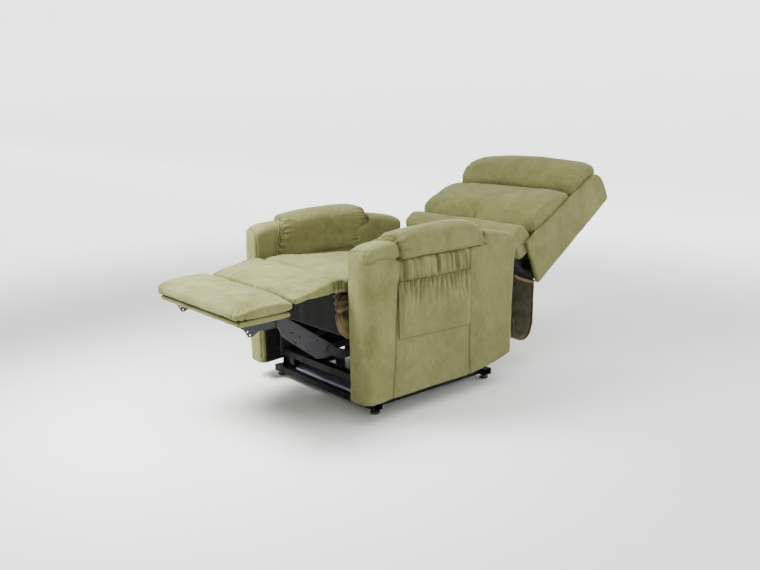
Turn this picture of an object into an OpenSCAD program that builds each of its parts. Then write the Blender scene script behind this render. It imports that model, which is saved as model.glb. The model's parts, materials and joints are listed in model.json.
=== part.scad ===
// Lift recliner chair, drawn reclined with the footrest out and the lift down.
// +X is the sitter's left, -Y is the way the sitter faces, +Z is up; z = 0 is the floor.

/* [Chair] */
// Width over both arms
chair_w = 800; // [780:5:840]
// Width between the arms
seat_w = 580; // [570:2:584]
// Depth of an arm from its front face to its rear edge
arm_d = 787; // [787:1:800]
// Distance from the arm's front face to the origin, towards -Y
front_y = -508; // [-520:1:-500]

/* [Base] */
// Side of the base's square tubes, across
tube_w = 38; // [30:1:40]
// Height of the base's tubes
tube_h = 25; // [20:1:28]
// Clearance under the base's tubes
base_z = 21; // [18:1:24]
// Half length of the front and rear tubes
base_half = 330; // [325:1:340]

/* [Lift] */
// Sweep of the lift links, degrees
lift_sweep = 55; // [50:1:55]
// Forward tilt of the seat at the top of the lift, degrees
lift_tilt = 24; // [20:1:24]

/* [Back] */
// Recline of the back from the horizontal, degrees
recline = 30; // [28:1:32]
// Sweep of the back from reclined to upright, degrees
back_sweep = 52; // [40:1:52]
// Half width over the back's side panels
back_half = 350; // [345:1:360]

/* [Footrest] */
// Sweep of the footrest's drive links from open to closed, degrees
foot_sweep = 80.9; // [70:0.1:80.9]
// Half width of the footrest pads
pad_half = 284; // [270:1:284]

/* [Hardware] */
// Thickness of the steel plates
plate_t = 5; // [4:0.5:5]
// Radius of the pivot pins
pin_r = 6; // [5:0.5:7]
// Radial clearance of a running pin
run = 0.05; // [0.02:0.01:0.08]
// Radius of the hinge and drive shafts
shaft_r = 12; // [10:0.5:13]

/* [Hidden] */
$fn = 48;

// Colours
olive = "darkkhaki";
dark_olive = "olive";
steel = "dimgray";
black = "black";

// Lateral planes of the steelwork, each the inner face of a plate
arm_in = seat_w / 2;
arm_out = chair_w / 2;
x_bracket = 279;
x_lift = 271;
x_side = 263;
x_drive = 250;
x_foot_plate = 242;
x_ottoman = 234;

// Pivots as [y, z], with y from the arm's front face
lift_low_front = [130, 78];
lift_low_rear = [505, 84];
lift_up_front = [120.7, 135];
lift_up_rear = [517.8, 187.3];
lift_tube_at = [190, 79];
back_hinge = [850, 430];
drive_pivot = [114, 327];
drive_knee = [-45, 265];
ottoman_pivot = [-250, 405];
open_pivot_play = 2.3;

// Actuators: lever radius and the lever's angle at rest
lift_lever_r = 95;
lift_lever_a = 55;
back_lever_r = 80;
back_lever_a = 253;
foot_lever_r = 50;
foot_lever_a = 221.55;
x_lift_act = 0;
x_back_act = 70;
x_foot_act = -90;
rod_r = 8.5;
bore_r = 18.2;
housing_r = 23;
lug_r = 14;
eye_half = 9;

// Seat and cushions
seat_z = 398;
arm_t = arm_out - arm_in;
cushion_half = arm_in - 8;

function polar(c, r, a) = c + r * [cos(a), sin(a)];

// Point where the eye of a lever sits at rest
function lever_tip(pivot, r, a) = polar(pivot, r, a);

// A fixed actuator lies along the chord of its lever's arc, half way up the arc's rise
function axis_a(a, sweep) = a + sweep / 2 + 90;
function axis_r(r, sweep) = r * (1 + cos(sweep / 2)) / 2;

// Solid of a [y, z] outline between x0 and x0 + t
module slab(x0, t) translate([x0, 0, 0]) rotate([90, 0, 90]) linear_extrude(t) children();

// Round bar along X
module rod_x(at, r, x0, x1) translate([x0, at[0], at[1]]) rotate([0, 90, 0]) cylinder(h = x1 - x0, r = r);

// Flat bar outline with round eyes at a list of points, the bar a little narrower than the eyes
module strap(points, r, waist = 0.94) {
    for (p = points) translate(p) circle(r);
    for (i = [1:len(points) - 1]) {
        d = points[i] - points[i - 1];
        translate(points[i - 1]) rotate(atan2(d[1], d[0])) translate([0, -r * waist])
            square([norm(d), 2 * r * waist]);
    }
}

// Square tube along X
module tube_x(y0, z0, w, h, x0, x1, wall = 2) {
    difference() {
        translate([x0, y0, z0]) cube([x1 - x0, w, h]);
        translate([x0 - 1, y0 + wall, z0 + wall]) cube([x1 - x0 + 2, w - 2 * wall, h - 2 * wall]);
    }
}

module chair_frame() translate([0, front_y, 0]) children();
module pair() {
    children();
    mirror([1, 0, 0]) children();
}
module side(s) mirror([s < 0 ? 1 : 0, 0, 0]) children();
module back_frame() chair_frame() translate([0, back_hinge[0], back_hinge[1]])
    rotate([recline, 0, 0]) children();

// Block with its long edges rounded in plan
module plan_block(x0, x1, y0, y1, z0, z1, r) {
    translate([0, 0, z0]) linear_extrude(z1 - z0) {
        translate([x0 + r, y0]) square([x1 - x0 - 2 * r, y1 - y0]);
        translate([x0, y0 + r]) square([x1 - x0, y1 - y0 - 2 * r]);
        for (x = [x0 + r, x1 - r], y = [y0 + r, y1 - r]) translate([x, y]) circle(r);
    }
}

// ---- Base ----
base_top = base_z + tube_h;
base_y0 = 88;
base_y1 = 676;
foot_x = 307;
foot_ys = [base_y0 + 22, 695];

module base_front_tube() color(black) chair_frame()
    tube_x(base_y0, base_z, tube_w, tube_h, -base_half, base_half);
module base_rear_tube() color(black) chair_frame()
    tube_x(base_y1, base_z, tube_w, tube_h, -base_half, base_half);

rail_x = x_side - 1;
module base_side_rails() color(black) chair_frame() pair() difference() {
    translate([rail_x, base_y0 + tube_w, base_z]) cube([tube_w, base_y1 - base_y0 - tube_w, tube_h]);
    translate([rail_x + 2, base_y0, base_z + 2]) cube([tube_w - 4, base_y1, tube_h - 4]);
}

// Plate on a spacer bar over the front tube
module base_tie_plate() color("slategray") chair_frame() {
    plan_block(-195, x_side, base_y0 + 8, 168, base_top + 12, base_top + 18, 20);
    plan_block(-183, x_side - 12, base_y0 + 20, base_y0 + 36, base_top, base_top + 12, 2);
}

bracket_outline = [[98, base_top], [168, base_top], [156, 96], [140, 150], [104, 150], [104, 100]];

module base_pivot_brackets() color(black) chair_frame() pair() difference() {
    slab(x_bracket, plate_t) polygon(bracket_outline);
    for (p = [lift_low_front, lift_up_front]) rod_x(p, pin_r, x_bracket - 1, x_bracket + plate_t + 1);
}

// Shoulder pin from x0 to x1 with a head of radius 10 between h0 and h1
module pin(at, x0, x1, h0, h1) {
    rod_x(at, pin_r, x0, x1);
    rod_x(at, pin_r + 4, h0, h1);
}

module base_pivot_pins() color("silver") chair_frame() pair()
    for (p = [lift_low_front, lift_up_front])
        pin(p, x_lift - 1.5, x_bracket + plate_t + 3.5, x_bracket + plate_t, x_bracket + plate_t + 3.5);

module base_feet() color(black) chair_frame() pair() for (y = foot_ys) {
    translate([foot_x, y, 4]) cylinder(h = 7, r = 18);
    translate([foot_x, y, 11]) cylinder(h = base_z - 11, r = 6);
}
module foot_pads() color("tan") chair_frame() pair() for (y = foot_ys)
    translate([foot_x, y, 0]) cylinder(h = 4, r = 16);

// ---- Actuators ----
// In an actuator's own frame its axis is +Y and [0, 0] is level with the lever's eye at rest
module along(pivot, lever_r, lever_a, sweep, dir, x) {
    a = axis_a(lever_a, sweep);
    mid = polar(pivot, axis_r(lever_r, sweep), lever_a + sweep / 2);
    start = mid - lever_r * sin(sweep / 2) * [cos(a), sin(a)];
    translate([x, start[0], start[1]]) rotate([a + (dir > 0 ? 180 : 0), 0, 0]) children();
}

// Tube housing from y0 to y1 with a gearbox and a rear lug that takes a pin
module actuator_housing(y0, y1) difference() {
    union() {
        translate([0, y0, 0]) rotate([-90, 0, 0]) cylinder(h = y1 - y0 - 20, r = housing_r);
        translate([-26, y1 - 70, -26]) cube([52, 60, 52]);
        translate([-eye_half, y1 - 11, -lug_r]) cube([2 * eye_half, 26, 2 * lug_r]);
        translate([-eye_half, y1 + 15, 0]) rotate([0, 90, 0]) cylinder(h = 2 * eye_half, r = lug_r);
    }
    translate([0, y0 - 1, 0]) rotate([-90, 0, 0]) cylinder(h = y1 - y0 - 39, r = bore_r);
    translate([-30, y1 + 15, 0]) rotate([0, 90, 0]) cylinder(h = 60, r = pin_r + run);
}

// Motor that hangs beside the gearbox, parallel with the housing
module actuator_motor(y1, drop) {
    translate([0, y1 - 175, drop]) rotate([-90, 0, 0]) cylinder(h = 165, r = 24);
    translate([0, y1 - 183, drop]) rotate([-90, 0, 0]) cylinder(h = 8, r = 17);
}

// Push rod with an eye at its lever's tip
module actuator_rod(pivot, lever_r, lever_a, sweep, dir, x, length) {
    tip = lever_tip(pivot, lever_r, lever_a);
    translate([x, tip[0], tip[1]]) rotate([axis_a(lever_a, sweep) + (dir > 0 ? 180 : 0), 0, 0]) difference() {
        union() {
            translate([0, 8, 0]) rotate([-90, 0, 0]) cylinder(h = length - 8, r = rod_r);
            translate([-eye_half, 0, 0]) rotate([0, 90, 0]) cylinder(h = 2 * eye_half, r = lug_r);
        }
        translate([-20, 0, 0]) rotate([0, 90, 0]) cylinder(h = 40, r = pin_r + run);
    }
}

// Two lever plates and their pin, from a shaft to the tip of the lever
module lever_pair(from, tip, x) {
    for (x0 = [x - eye_half - 6, x + eye_half + 1]) slab(x0, plate_t) strap([from, tip], 13.5);
    rod_x(tip, pin_r, x - eye_half - 2, x + eye_half + 2);
}

mouth = 42;
motor_drop = 50.5;
lift_body_end = 512;
back_body_end = 385;
foot_body_end = 385;

module lift_place() chair_frame()
    along(lift_low_front, lift_lever_r, lift_lever_a, lift_sweep, 1, x_lift_act) children();
module back_place() chair_frame()
    along(back_hinge, back_lever_r, back_lever_a, back_sweep, 1, x_back_act) children();
module foot_place() chair_frame()
    along(drive_pivot, foot_lever_r, foot_lever_a, foot_sweep, -1, x_foot_act) children();

// Fixed rear pins of the three actuators
function act_pin(pivot, r, a, sweep, dir, length) =
    let (ax = axis_a(a, sweep), mid = polar(pivot, axis_r(r, sweep), a + sweep / 2))
    mid - (r * sin(sweep / 2) + (dir > 0 ? length : -length)) * [cos(ax), sin(ax)];
function lift_pin() = act_pin(lift_low_front, lift_lever_r, lift_lever_a, lift_sweep, 1, lift_body_end);
function back_pin() = act_pin(back_hinge, back_lever_r, back_lever_a, back_sweep, 1, back_body_end);
function foot_pin() = act_pin(drive_pivot, foot_lever_r, foot_lever_a, foot_sweep, -1, foot_body_end);

// Two ears from a base edge [y0, y1] at height z to an actuator's rear pin, and that pin
module clevis(x, edge, z, at) {
    for (x0 = [x - eye_half - 6, x + eye_half + 1]) difference() {
        slab(x0, plate_t) {
            translate(at) circle(13);
            polygon([[edge[0], z], [edge[1], z], at + [13, 0], at + [-13, 0]]);
        }
        rod_x(at, pin_r, x0 - 1, x0 + plate_t + 1);
    }
    rod_x(at, pin_r, x - eye_half - 6, x + eye_half + 6);
}

module lift_actuator_housing() color(black) lift_place() actuator_housing(mouth, lift_body_end - 15);
module lift_actuator_motor() color(steel) lift_place() actuator_motor(lift_body_end - 15, -motor_drop);
module lift_actuator_rod() color("silver") chair_frame()
    actuator_rod(lift_low_front, lift_lever_r, lift_lever_a, lift_sweep, 1, x_lift_act, 225);

module lift_motor_mount() color(black) chair_frame()
    clevis(x_lift_act, [base_y1 + 1, base_y1 + 31], base_top, lift_pin());

module recline_actuator_housing() color(black) back_place() {
    actuator_housing(mouth, back_body_end - 15);
    actuator_motor(back_body_end - 15, motor_drop);
}
module recline_actuator_rod() color("silver") chair_frame()
    actuator_rod(back_hinge, back_lever_r, back_lever_a, back_sweep, 1, x_back_act, 170);

module footrest_actuator_housing() color(black) foot_place() {
    actuator_housing(mouth + 75, foot_body_end - 15);
    actuator_motor(foot_body_end - 15, -motor_drop);
}
module footrest_actuator_rod() color("silver") chair_frame()
    actuator_rod(drive_pivot, foot_lever_r, foot_lever_a, foot_sweep, -1, x_foot_act, 200);

// ---- Lift linkage ----
module lift_lower_link(s) color(steel) chair_frame() side(s) difference() {
    slab(x_lift, plate_t) strap([lift_low_front, lift_low_rear], 16);
    for (p = [lift_low_front, lift_low_rear]) rod_x(p, pin_r + run, x_lift - 1, x_lift + plate_t + 1);
}
module lift_lower_link_left() lift_lower_link(1);
module lift_lower_link_right() lift_lower_link(-1);

module lift_cross_tube() color(black) chair_frame() difference() {
    rod_x(lift_tube_at, 12.5, -x_lift, x_lift);
    rod_x(lift_tube_at, 10, -x_lift - 1, x_lift + 1);
}

module lift_lever() color(steel) chair_frame() difference() {
    lever_pair(lift_tube_at, lever_tip(lift_low_front, lift_lever_r, lift_lever_a), x_lift_act);
    rod_x(lift_tube_at, 12.5, -eye_half - 10, eye_half + 10);
}

module lift_upper_links() color(steel) chair_frame() pair() difference() {
    slab(x_lift, plate_t) strap([lift_up_front, lift_up_rear], 14);
    rod_x(lift_up_front, pin_r + run, x_lift - 1, x_lift + plate_t + 1);
    rod_x(lift_up_rear, pin_r + open_pivot_play, x_lift - 1, x_lift + plate_t + 1);
}

// ---- Seat carriage ----
side_outline = [
    [62, 392], [62, 300], [80, 290], [80, 100], [125, 100], [135, 285], [430, 240], [478, 170],
    [482, 62], [545, 62], [552, 190], [600, 300], [715, 340], [800, 372], [868, 410], [868, 446],
    [840, 452], [715, 392]
];
module carriage_side(s) color(steel) chair_frame() side(s) difference() {
    slab(x_side, plate_t) {
        polygon(side_outline);
        translate(back_hinge) circle(26);
    }
    for (p = [lift_low_rear, lift_up_rear]) rod_x(p, pin_r, x_side - 1, x_side + plate_t + 1);
    for (p = [drive_pivot, back_hinge]) rod_x(p, shaft_r + run, x_side - 1, x_side + plate_t + 1);
}
module carriage_side_left() carriage_side(1);
module carriage_side_right() carriage_side(-1);

// Front tube with a round bump stop under its right end
module carriage_front_tube() color(black) chair_frame() {
    tube_x(88, 103, 25, 25, -x_side, x_side);
    translate([-213, 86, 86]) cube([32, 34, 17]);
    rod_x([103, 86], 17, -213, -181);
}
mid_tube = [440, 252.5, 25, 22];
module carriage_mid_tube() color(black) chair_frame() {
    tube_x(mid_tube[0], mid_tube[1], mid_tube[2], mid_tube[3], -x_side, x_side);
    mid_edge = [mid_tube[0], mid_tube[0] + mid_tube[2]];
    clevis(x_back_act, mid_edge, mid_tube[1] + mid_tube[3], back_pin());
    clevis(x_foot_act, mid_edge, mid_tube[1], foot_pin());
}
module carriage_rear_tube() color(black) chair_frame() tube_x(690, 367, 25, 25, -x_side, x_side);

module carriage_pivot_pins() color("silver") chair_frame() pair()
    for (p = [lift_low_rear, lift_up_rear])
        pin(p, x_side - 3.5, x_lift + plate_t + 1.5, x_side - 3.5, x_side);

module seat_side_rails() color("burlywood") chair_frame() pair()
    translate([x_side + plate_t, 86, 350]) cube([arm_in - x_side - plate_t, 600, 42]);

// Front and rear seat rails as [y, bottom z]
rail_top = 396;
rail_t = 22;
front_rail = [64, 376];
rear_rail = [660, 354];
module seat_cross_rails() color("burlywood") chair_frame() for (r = [front_rail, rear_rail])
    translate([-x_side, r[0], r[1]]) cube([2 * x_side, rail_t, rail_top - r[1]]);

// Zigzag spring strip between the seat rails: straight runs joined by short returns
spring_w = 4;
spring_half = 32;
spring_runs = 14;
spring_y0 = front_rail[0] + rail_t;
spring_pitch = (rear_rail[0] - spring_y0 - spring_w) / spring_runs;
module zigzag() linear_extrude(3) {
    for (i = [0:spring_runs]) translate([-spring_half, i * spring_pitch])
        square([2 * spring_half, spring_w]);
    for (i = [0:spring_runs - 1])
        translate([i % 2 == 0 ? spring_half - spring_w : -spring_half, i * spring_pitch])
            square([spring_w, spring_pitch + spring_w]);
}
module seat_springs() color("silver") chair_frame()
    for (x = [-200:100:200]) translate([x, spring_y0, 386]) zigzag();

seat_outline = [
    [5, seat_z], [2, 508], [14, 526], [45, 534], [110, 532], [229, 516], [350, 503], [471, 490],
    [600, 481], [686, 476], [696, 464], [696, seat_z]
];
module seat_cushion() color(olive) chair_frame() slab(-cushion_half, 2 * cushion_half) polygon(seat_outline);

module front_apron() color(black) chair_frame() translate([-228, 50, 286]) cube([456, 4, 110]);

module control_box() color(black) chair_frame() difference() {
    translate([-232, 540, 340]) cube([110, 120, 38]);
    for (x = [-214, -186]) translate([x, 530, 350]) cube([18, 22, 14]);
    translate([-158, 530, 348]) cube([26, 26, 18]);
}

// ---- Arms ----
arm_outline = [
    [6, 74], [14, 70], [120, 77], [510, 78], [575, 84], [665, 98], [755, 118], [762, 228],
    [766, 379], [775, 526], [arm_d, 560], [785, 585], [773, 602], [742, 616], [706, 624], [606, 634],
    [604, 598], [122, 598], [118, 648], [62, 646], [31, 638], [10, 626], [2, 606], [0, 580], [0, 110]
];
cavity_wall = 26;
module arm(s) color(olive) chair_frame() side(s) difference() {
    intersection() {
        slab(arm_in, arm_t) polygon(arm_outline);
        plan_block(arm_in, arm_out, 0, arm_d + 60, 60, 660, 46);
    }
    translate([arm_in + cavity_wall, 60, 50]) cube([arm_t - 2 * cavity_wall, 640, 500]);
}
module arm_left() arm(1);
module arm_right() arm(-1);

post = 46;
sill_outline = [[62, 80], [510, 82], [575, 88], [665, 102], [698, 110], [698, 113], [62, 113]];
module arm_frames() color("burlywood") chair_frame() pair() difference() {
    union() {
        translate([arm_in + arm_t / 2 - 9, 80, 112]) cube([18, 610, 430]);
        for (y = [80, 690 - post]) translate([arm_in + cavity_wall, y, 112])
            cube([arm_t - 2 * cavity_wall, post, 430]);
        slab(arm_in + cavity_wall, arm_t - 2 * cavity_wall) polygon(sill_outline);
    }
    for (y = [240, 385, 530]) rod_x([y, 330], 55, arm_in, arm_out);
}

pad_outline = [
    [124, 600], [124, 654], [140, 668], [180, 678], [260, 686], [350, 689], [430, 683], [500, 674],
    [560, 660], [592, 644], [602, 626], [602, 600]
];
module arm_pad(s) color(olive) chair_frame() side(s) intersection() {
    slab(arm_in - 2, arm_t + 4) polygon(pad_outline);
    translate([arm_in - 2, 100, 590]) rotate([-90, 0, 0]) mirror([0, 1, 0]) linear_extrude(520) {
        square([arm_t + 4, 65]);
        translate([34, 65]) circle(34);
        translate([arm_t + 4 - 34, 65]) circle(34);
        translate([34, 65]) square([arm_t + 4 - 68, 34]);
    }
}
module arm_pad_left() arm_pad(1);
module arm_pad_right() arm_pad(-1);

// Side pocket: an open-topped shallow bag on the outer face of the arm
pocket_y = [148, 514];
pocket_z = [285, 503];
pocket_depth = 7;
pocket_wall = 3;
module pocket(s) color(olive) chair_frame() side(s) difference() {
    translate([arm_out, pocket_y[0], pocket_z[0]])
        cube([pocket_depth + pocket_wall, pocket_y[1] - pocket_y[0], pocket_z[1] - pocket_z[0]]);
    translate([arm_out - 1, pocket_y[0] + 6, pocket_z[0] + 6])
        cube([pocket_depth + 1, pocket_y[1] - pocket_y[0] - 12, pocket_z[1] - pocket_z[0]]);
}
module pocket_left() pocket(1);
module pocket_right() pocket(-1);

// ---- Soft parts between seat and footrest ----
chaise_outline = [
    [-3, 462], [-4, 530], [-20, 538], [-60, 532], [-150, 516], [-198, 504], [-211, 490], [-211, 468]
];
module chaise_pad() color(olive) chair_frame() slab(-pad_half, 2 * pad_half) polygon(chaise_outline);

gusset_outline = [[-34, 397], [-30, 330], [-12, 288], [10, 280], [30, 296], [42, 350], [44, 397]];
module chaise_gusset() color(dark_olive) chair_frame() pair() slab(150, 70) polygon(gusset_outline);

flap_outer = [[986, 352], [984, 250], [976, 190], [959, 140], [945, 125], [925, 119], [895, 124]];
flap_t = 6;
module rear_flap() color(dark_olive) chair_frame() slab(-320, 640)
    polygon(concat(flap_outer, [
        for (i = [len(flap_outer) - 1:-1:0]) flap_outer[i] + [i > 4 ? 0 : -flap_t, i > 2 ? flap_t : 0]
    ]));

// ---- Back, drawn lying along +Y from its hinge ----
module back_hinge_shaft() color(steel) chair_frame() {
    rod_x(back_hinge, shaft_r, -x_lift - plate_t, x_lift + plate_t);
    lever_pair(back_hinge, lever_tip(back_hinge, back_lever_r, back_lever_a), x_back_act);
}

hinge_outline = [[-12, -16], [60, -48], [230, -48], [230, -20], [100, -20], [14, 14]];
module back_hinge_brackets() color(steel) back_frame() pair() difference() {
    slab(x_lift, plate_t) {
        polygon(hinge_outline);
        circle(22);
    }
    rod_x([0, 0], shaft_r, x_lift - 1, x_lift + plate_t + 1);
}

side_panel_t = 20;
panel_in = back_half - side_panel_t;
panel_outline = [
    [103, 75], [606, 67], [628, 58], [645, 38], [654, 14], [657, -12], [654, -74], [646, -88],
    [618, -91], [81, -126]
];
module back_side(s) color(olive) back_frame() side(s) slab(panel_in, side_panel_t) polygon(panel_outline);
module back_side_left() back_side(1);
module back_side_right() back_side(-1);

module back_board() color("burlywood") back_frame()
    translate([-panel_in, 100, -20]) cube([2 * panel_in, 508, 20]);

module back_rear_panel() color(olive) back_frame() slab(-panel_in, 2 * panel_in)
    polygon([[84, -125], [610, -91], [610, -82], [86, -116]]);

module back_top_rail() color(olive) back_frame() slab(-panel_in, 2 * panel_in)
    polygon([[611, -90], [640, -88], [651, -76], [654, -12], [645, 30], [622, 36], [611, 4]]);

lumbar_outline = [
    [46, 22], [46, 112], [58, 138], [88, 150], [136, 147], [160, 112], [165, 60], [165, 3], [104, 3]
];
module back_cushion_lumbar() color(olive) back_frame()
    slab(-cushion_half, 2 * cushion_half) polygon(lumbar_outline);

middle_outline = [
    [169, 3], [169, 110], [186, 142], [230, 150], [330, 140], [400, 118], [440, 86], [451, 40], [451, 3]
];
back_cushion_half = panel_in - 2;
module back_cushion_middle() color(olive) back_frame()
    slab(-back_cushion_half, 2 * back_cushion_half) polygon(middle_outline);

head_outline = [
    [455, 3], [455, 90], [464, 138], [498, 158], [560, 164], [612, 150], [644, 118], [654, 80],
    [646, 44], [620, 42], [606, 10], [600, 3]
];
module back_cushion_head() color(olive) back_frame()
    slab(-back_cushion_half, 2 * back_cushion_half) polygon(head_outline);

// ---- Footrest ----
drive_path = [drive_knee, [5, 240], [62, 244], [104, 284], drive_pivot];
module footrest_drive_shaft() color(steel) chair_frame() {
    rod_x(drive_pivot, shaft_r, -x_side - plate_t, x_side + plate_t);
    lever_pair(drive_pivot, lever_tip(drive_pivot, foot_lever_r, foot_lever_a), x_foot_act);
}
module footrest_drive_links() color(steel) chair_frame() pair() {
    difference() {
        slab(x_drive, plate_t) {
            strap(drive_path, 17);
            translate(drive_pivot) circle(26);
        }
        rod_x(drive_pivot, shaft_r, x_drive - 1, x_drive + plate_t + 1);
        rod_x(drive_knee, pin_r, x_drive - 1, x_drive + plate_t + 1);
    }
    pin(drive_knee, x_foot_plate - 1, x_drive + plate_t + 4, x_drive + plate_t, x_drive + plate_t + 4);
}

foot_plate_outline = [
    [-262, 420], [-258, 392], [-237, 350], [-100, 244], [-60, 240], [-26, 246], [-20, 276], [-53, 298],
    [-215, 412], [-234, 424]
];
rivets = [[-205, 362], [-195, 357], [-172, 340], [-190, 323], [-126, 306], [-96, 312], [-137, 284]];
module footrest_plates() color(steel) chair_frame() pair() difference() {
    slab(x_foot_plate, plate_t) polygon(foot_plate_outline);
    for (p = [drive_knee, ottoman_pivot]) rod_x(p, pin_r + run, x_foot_plate - 1, x_foot_plate + plate_t + 1);
    for (p = rivets) rod_x(p, 3.5, x_foot_plate - 1, x_foot_plate + plate_t + 1);
}

ottoman_outline = [
    [-392, 421], [-390, 414], [-367, 374], [-355, 374], [-327, 388], [-262, 388], [-236, 396], [-236, 421]
];
ottoman_flange = 24;
module ottoman_brackets() color(steel) chair_frame() pair() {
    difference() {
        slab(x_ottoman, plate_t) polygon(ottoman_outline);
        for (p = [[-370, 394], [-361, 381]]) rod_x(p, 4, x_ottoman - 1, x_ottoman + plate_t + 1);
        rod_x(ottoman_pivot, pin_r, x_ottoman - 1, x_ottoman + plate_t + 1);
    }
    pin(ottoman_pivot, x_ottoman, x_foot_plate + plate_t + 1, x_ottoman - 4, x_ottoman);
    translate([x_ottoman - ottoman_flange, -392, 421]) cube([plate_t + ottoman_flange, 150, 3]);
}

// Angle bar between the two ottoman brackets
module ottoman_cross_bar() color(steel) chair_frame() {
    translate([-x_ottoman, -318, 396]) cube([2 * x_ottoman, 3, 25]);
    translate([ottoman_flange - x_ottoman, -318, 421]) cube([2 * (x_ottoman - ottoman_flange), 28, 3]);
}

module ottoman_board() color(olive) chair_frame() translate([0, 0, 424.2])
    plan_block(-pad_half + 1, pad_half - 1, -424, -229, 0, 21.8, 8);

ottoman_pad_outline = [
    [-214, 447], [-214, 492], [-228, 504], [-300, 512], [-380, 506], [-424, 492], [-437, 472],
    [-434, 447]
];
module ottoman_pad() color(olive) chair_frame() slab(-pad_half, 2 * pad_half) polygon(ottoman_pad_outline);

base_front_tube();
base_rear_tube();
base_side_rails();
base_tie_plate();
base_pivot_brackets();
base_pivot_pins();
base_feet();
foot_pads();
lift_motor_mount();
lift_lower_link_left();
lift_lower_link_right();
lift_cross_tube();
lift_lever();
lift_upper_links();
lift_actuator_housing();
lift_actuator_motor();
lift_actuator_rod();
carriage_side_left();
carriage_side_right();
carriage_front_tube();
carriage_mid_tube();
carriage_rear_tube();
carriage_pivot_pins();
seat_side_rails();
seat_cross_rails();
seat_springs();
seat_cushion();
front_apron();
control_box();
arm_left();
arm_right();
arm_frames();
arm_pad_left();
arm_pad_right();
pocket_left();
pocket_right();
chaise_pad();
chaise_gusset();
rear_flap();
recline_actuator_housing();
recline_actuator_rod();
footrest_actuator_housing();
footrest_actuator_rod();
back_hinge_shaft();
back_hinge_brackets();
back_board();
back_side_left();
back_side_right();
back_rear_panel();
back_top_rail();
back_cushion_lumbar();
back_cushion_middle();
back_cushion_head();
footrest_drive_shaft();
footrest_drive_links();
footrest_plates();
ottoman_brackets();
ottoman_cross_bar();
ottoman_board();
ottoman_pad();
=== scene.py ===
import itertools
import json
import math

import bmesh
import bpy
import numpy as np
from mathutils import Matrix, Vector


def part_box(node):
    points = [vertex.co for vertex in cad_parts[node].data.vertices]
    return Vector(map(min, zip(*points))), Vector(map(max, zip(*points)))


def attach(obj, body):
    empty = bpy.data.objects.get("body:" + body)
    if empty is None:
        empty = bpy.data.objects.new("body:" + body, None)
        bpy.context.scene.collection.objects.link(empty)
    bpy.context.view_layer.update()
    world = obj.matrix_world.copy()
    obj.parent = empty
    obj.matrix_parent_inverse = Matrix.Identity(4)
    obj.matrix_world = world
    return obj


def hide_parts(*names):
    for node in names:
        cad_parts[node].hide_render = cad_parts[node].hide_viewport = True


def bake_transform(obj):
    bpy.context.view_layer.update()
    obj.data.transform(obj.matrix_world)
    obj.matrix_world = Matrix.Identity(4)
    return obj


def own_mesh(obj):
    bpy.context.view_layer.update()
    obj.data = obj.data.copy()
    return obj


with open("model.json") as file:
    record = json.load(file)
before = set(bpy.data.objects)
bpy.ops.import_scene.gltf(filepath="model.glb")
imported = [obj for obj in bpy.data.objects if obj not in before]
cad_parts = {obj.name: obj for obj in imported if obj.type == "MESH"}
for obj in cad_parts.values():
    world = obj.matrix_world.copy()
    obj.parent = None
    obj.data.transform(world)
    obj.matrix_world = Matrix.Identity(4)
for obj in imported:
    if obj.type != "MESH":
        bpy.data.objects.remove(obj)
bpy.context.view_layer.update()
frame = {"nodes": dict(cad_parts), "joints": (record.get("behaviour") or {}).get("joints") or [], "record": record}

# ------------ places from the frame
JOINTS = {j["name"]: j for j in frame["joints"]}
ARM_LO, ARM_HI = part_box("arm_left")
FRONT = ARM_LO.y                      # the arms' front face; outlines below count from here
ARM_IN, ARM_OUT = ARM_LO.x, ARM_HI.x
HINGE = Vector(JOINTS["recline"]["pos_m"])
RECLINE = math.radians(30)
BACK = Matrix.Translation(HINGE) @ Matrix.Rotation(RECLINE, 4, "X")
SIDE_LO, SIDE_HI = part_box("back_side_left")
PANEL_IN, PANEL_OUT = SIDE_LO.x, SIDE_HI.x
MM = 0.001
VOXEL = 0.006
PRESSURE, STIFFNESS, SWELL_FRAMES = 4.0, 8.0, 20      # the cushions' cloth simulation


def at(y, z):
    """Frame [y, z] in metres of a side-view point in millimetres from the arm's front face and the floor."""
    return (FRONT + y * MM, z * MM)


def outline(points):
    return np.array([at(y, z) for y, z in points])


def back_outline(points):
    """Side-view points along and above the back's board, from the hinge, in metres."""
    return np.array(points, float) * MM


# ------------ numbers and meshes
def gradient_noise(points, seed=0):
    """Smooth noise between about -1 and 1 at an (n, 3) array of points."""
    rng = np.random.default_rng(seed)
    table = rng.permutation(256)
    gradients = rng.normal(size=(256, 3))
    gradients /= np.linalg.norm(gradients, axis=1)[:, None]
    base = np.floor(points).astype(int)
    part = points - base
    fade = part**3 * (part * (part * 6 - 15) + 10)
    total = np.zeros(len(points))
    for corner in itertools.product((0, 1), repeat=3):
        c = np.array(corner)
        cell = base + c
        index = table[(cell[:, 0]) & 255]
        index = table[(index + cell[:, 1]) & 255]
        index = table[(index + cell[:, 2]) & 255]
        dots = np.einsum("ij,ij->i", gradients[index], part - c)
        total += dots * np.prod(np.where(c, fade, 1 - fade), axis=1)
    return total * 1.6


def noise_over(a, b, seed):
    """Smooth noise over two coordinates, in the shape of a."""
    return gradient_noise(np.column_stack([a.ravel(), b.ravel(), np.full(a.size, seed)])).reshape(a.shape)


def layered_noise(points, scale, octaves, seed, stretch):
    """Noise whose largest swell is about scale metres, longer along an axis whose stretch is above 1."""
    p = points / (scale * np.array(stretch))
    return sum(gradient_noise(p * 2**o, seed + o) / 2**o for o in range(octaves))


def bell(distance, width):
    return np.exp(-((distance / width) ** 2))


def ramp(x, x0, x1):
    t = np.clip((x - x0) / (x1 - x0), 0, 1)
    return t * t * (3 - 2 * t)


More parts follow.
